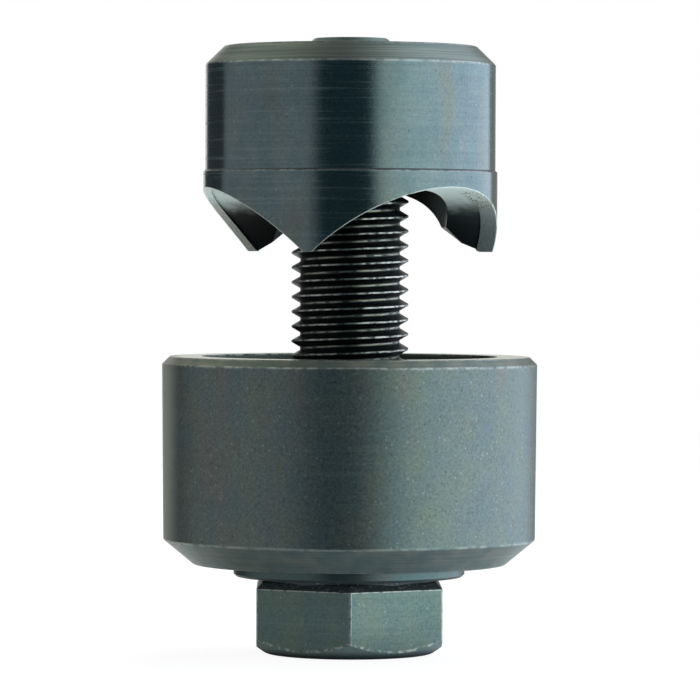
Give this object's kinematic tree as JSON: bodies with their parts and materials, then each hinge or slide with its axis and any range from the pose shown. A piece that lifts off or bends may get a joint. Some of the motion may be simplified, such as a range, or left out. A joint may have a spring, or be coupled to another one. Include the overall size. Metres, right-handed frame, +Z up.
{
  "type": "sheet metal hole punch",
  "caption": "Round hole punch for sheet metal: a toothed punch is drawn down into a cup-shaped die by turning a hex-headed screw on a thrust bearing.",
  "frame": {"origin": "middle of the lower face of the draw screw's hex head, on which the punch stands", "axes": "+Z up along the draw screw, from the hex head to the punch; -Y towards the side that the picture shows"},
  "size_m": [0.0382, 0.0382, 0.0627],
  "materials": {
    "punch_steel": "blackened, fine turning lines, satin",
    "die_steel": "blackened, slightly pitted, matt",
    "screw_steel": "blackened, satin",
    "race_steel": "hardened, ground, lightly blued",
    "ball_steel": "polished bearing steel",
    "cage_brass": "pressed, plain"
  },
  "bodies": {
    "die": {"die": "die_steel", "bearing_upper_race": "race_steel"},
    "screw": {"draw_screw": "screw_steel", "bearing_lower_race": "race_steel"},
    "punch": {"punch": "punch_steel"},
    "cage": {"ball_cage": "cage_brass", "ball_01": "ball_steel", "ball_02": "ball_steel", "ball_03": "ball_steel", "ball_04": "ball_steel", "ball_05": "ball_steel", "ball_06": "ball_steel", "ball_07": "ball_steel", "ball_08": "ball_steel", "ball_09": "ball_steel", "ball_10": "ball_steel", "ball_11": "ball_steel", "ball_12": "ball_steel"}
  },
  "joints": [
    {"name": "punch_travel", "type": "slide", "parent": "die", "child": "punch", "axis": [0, 0, -1], "range_m": [-0.0105, 0.0215]},
    {"name": "screw_turn", "type": "hinge", "parent": "die", "child": "screw", "pos_m": [0, 0, 0], "axis": [0, 0, 1], "range_deg": [-2521, 5161]},
    {"name": "cage_turn", "type": "hinge", "parent": "die", "child": "cage", "pos_m": [0, 0, 0.0113], "axis": [0, 0, 1], "range_deg": [-1261, 2581]}
  ],
  "couplings": [
    {"joint": "screw_turn", "follows": "punch_travel", "rad_per_m": 4188.8},
    {"joint": "cage_turn", "follows": "punch_travel", "rad_per_m": 2094.4}
  ]
}
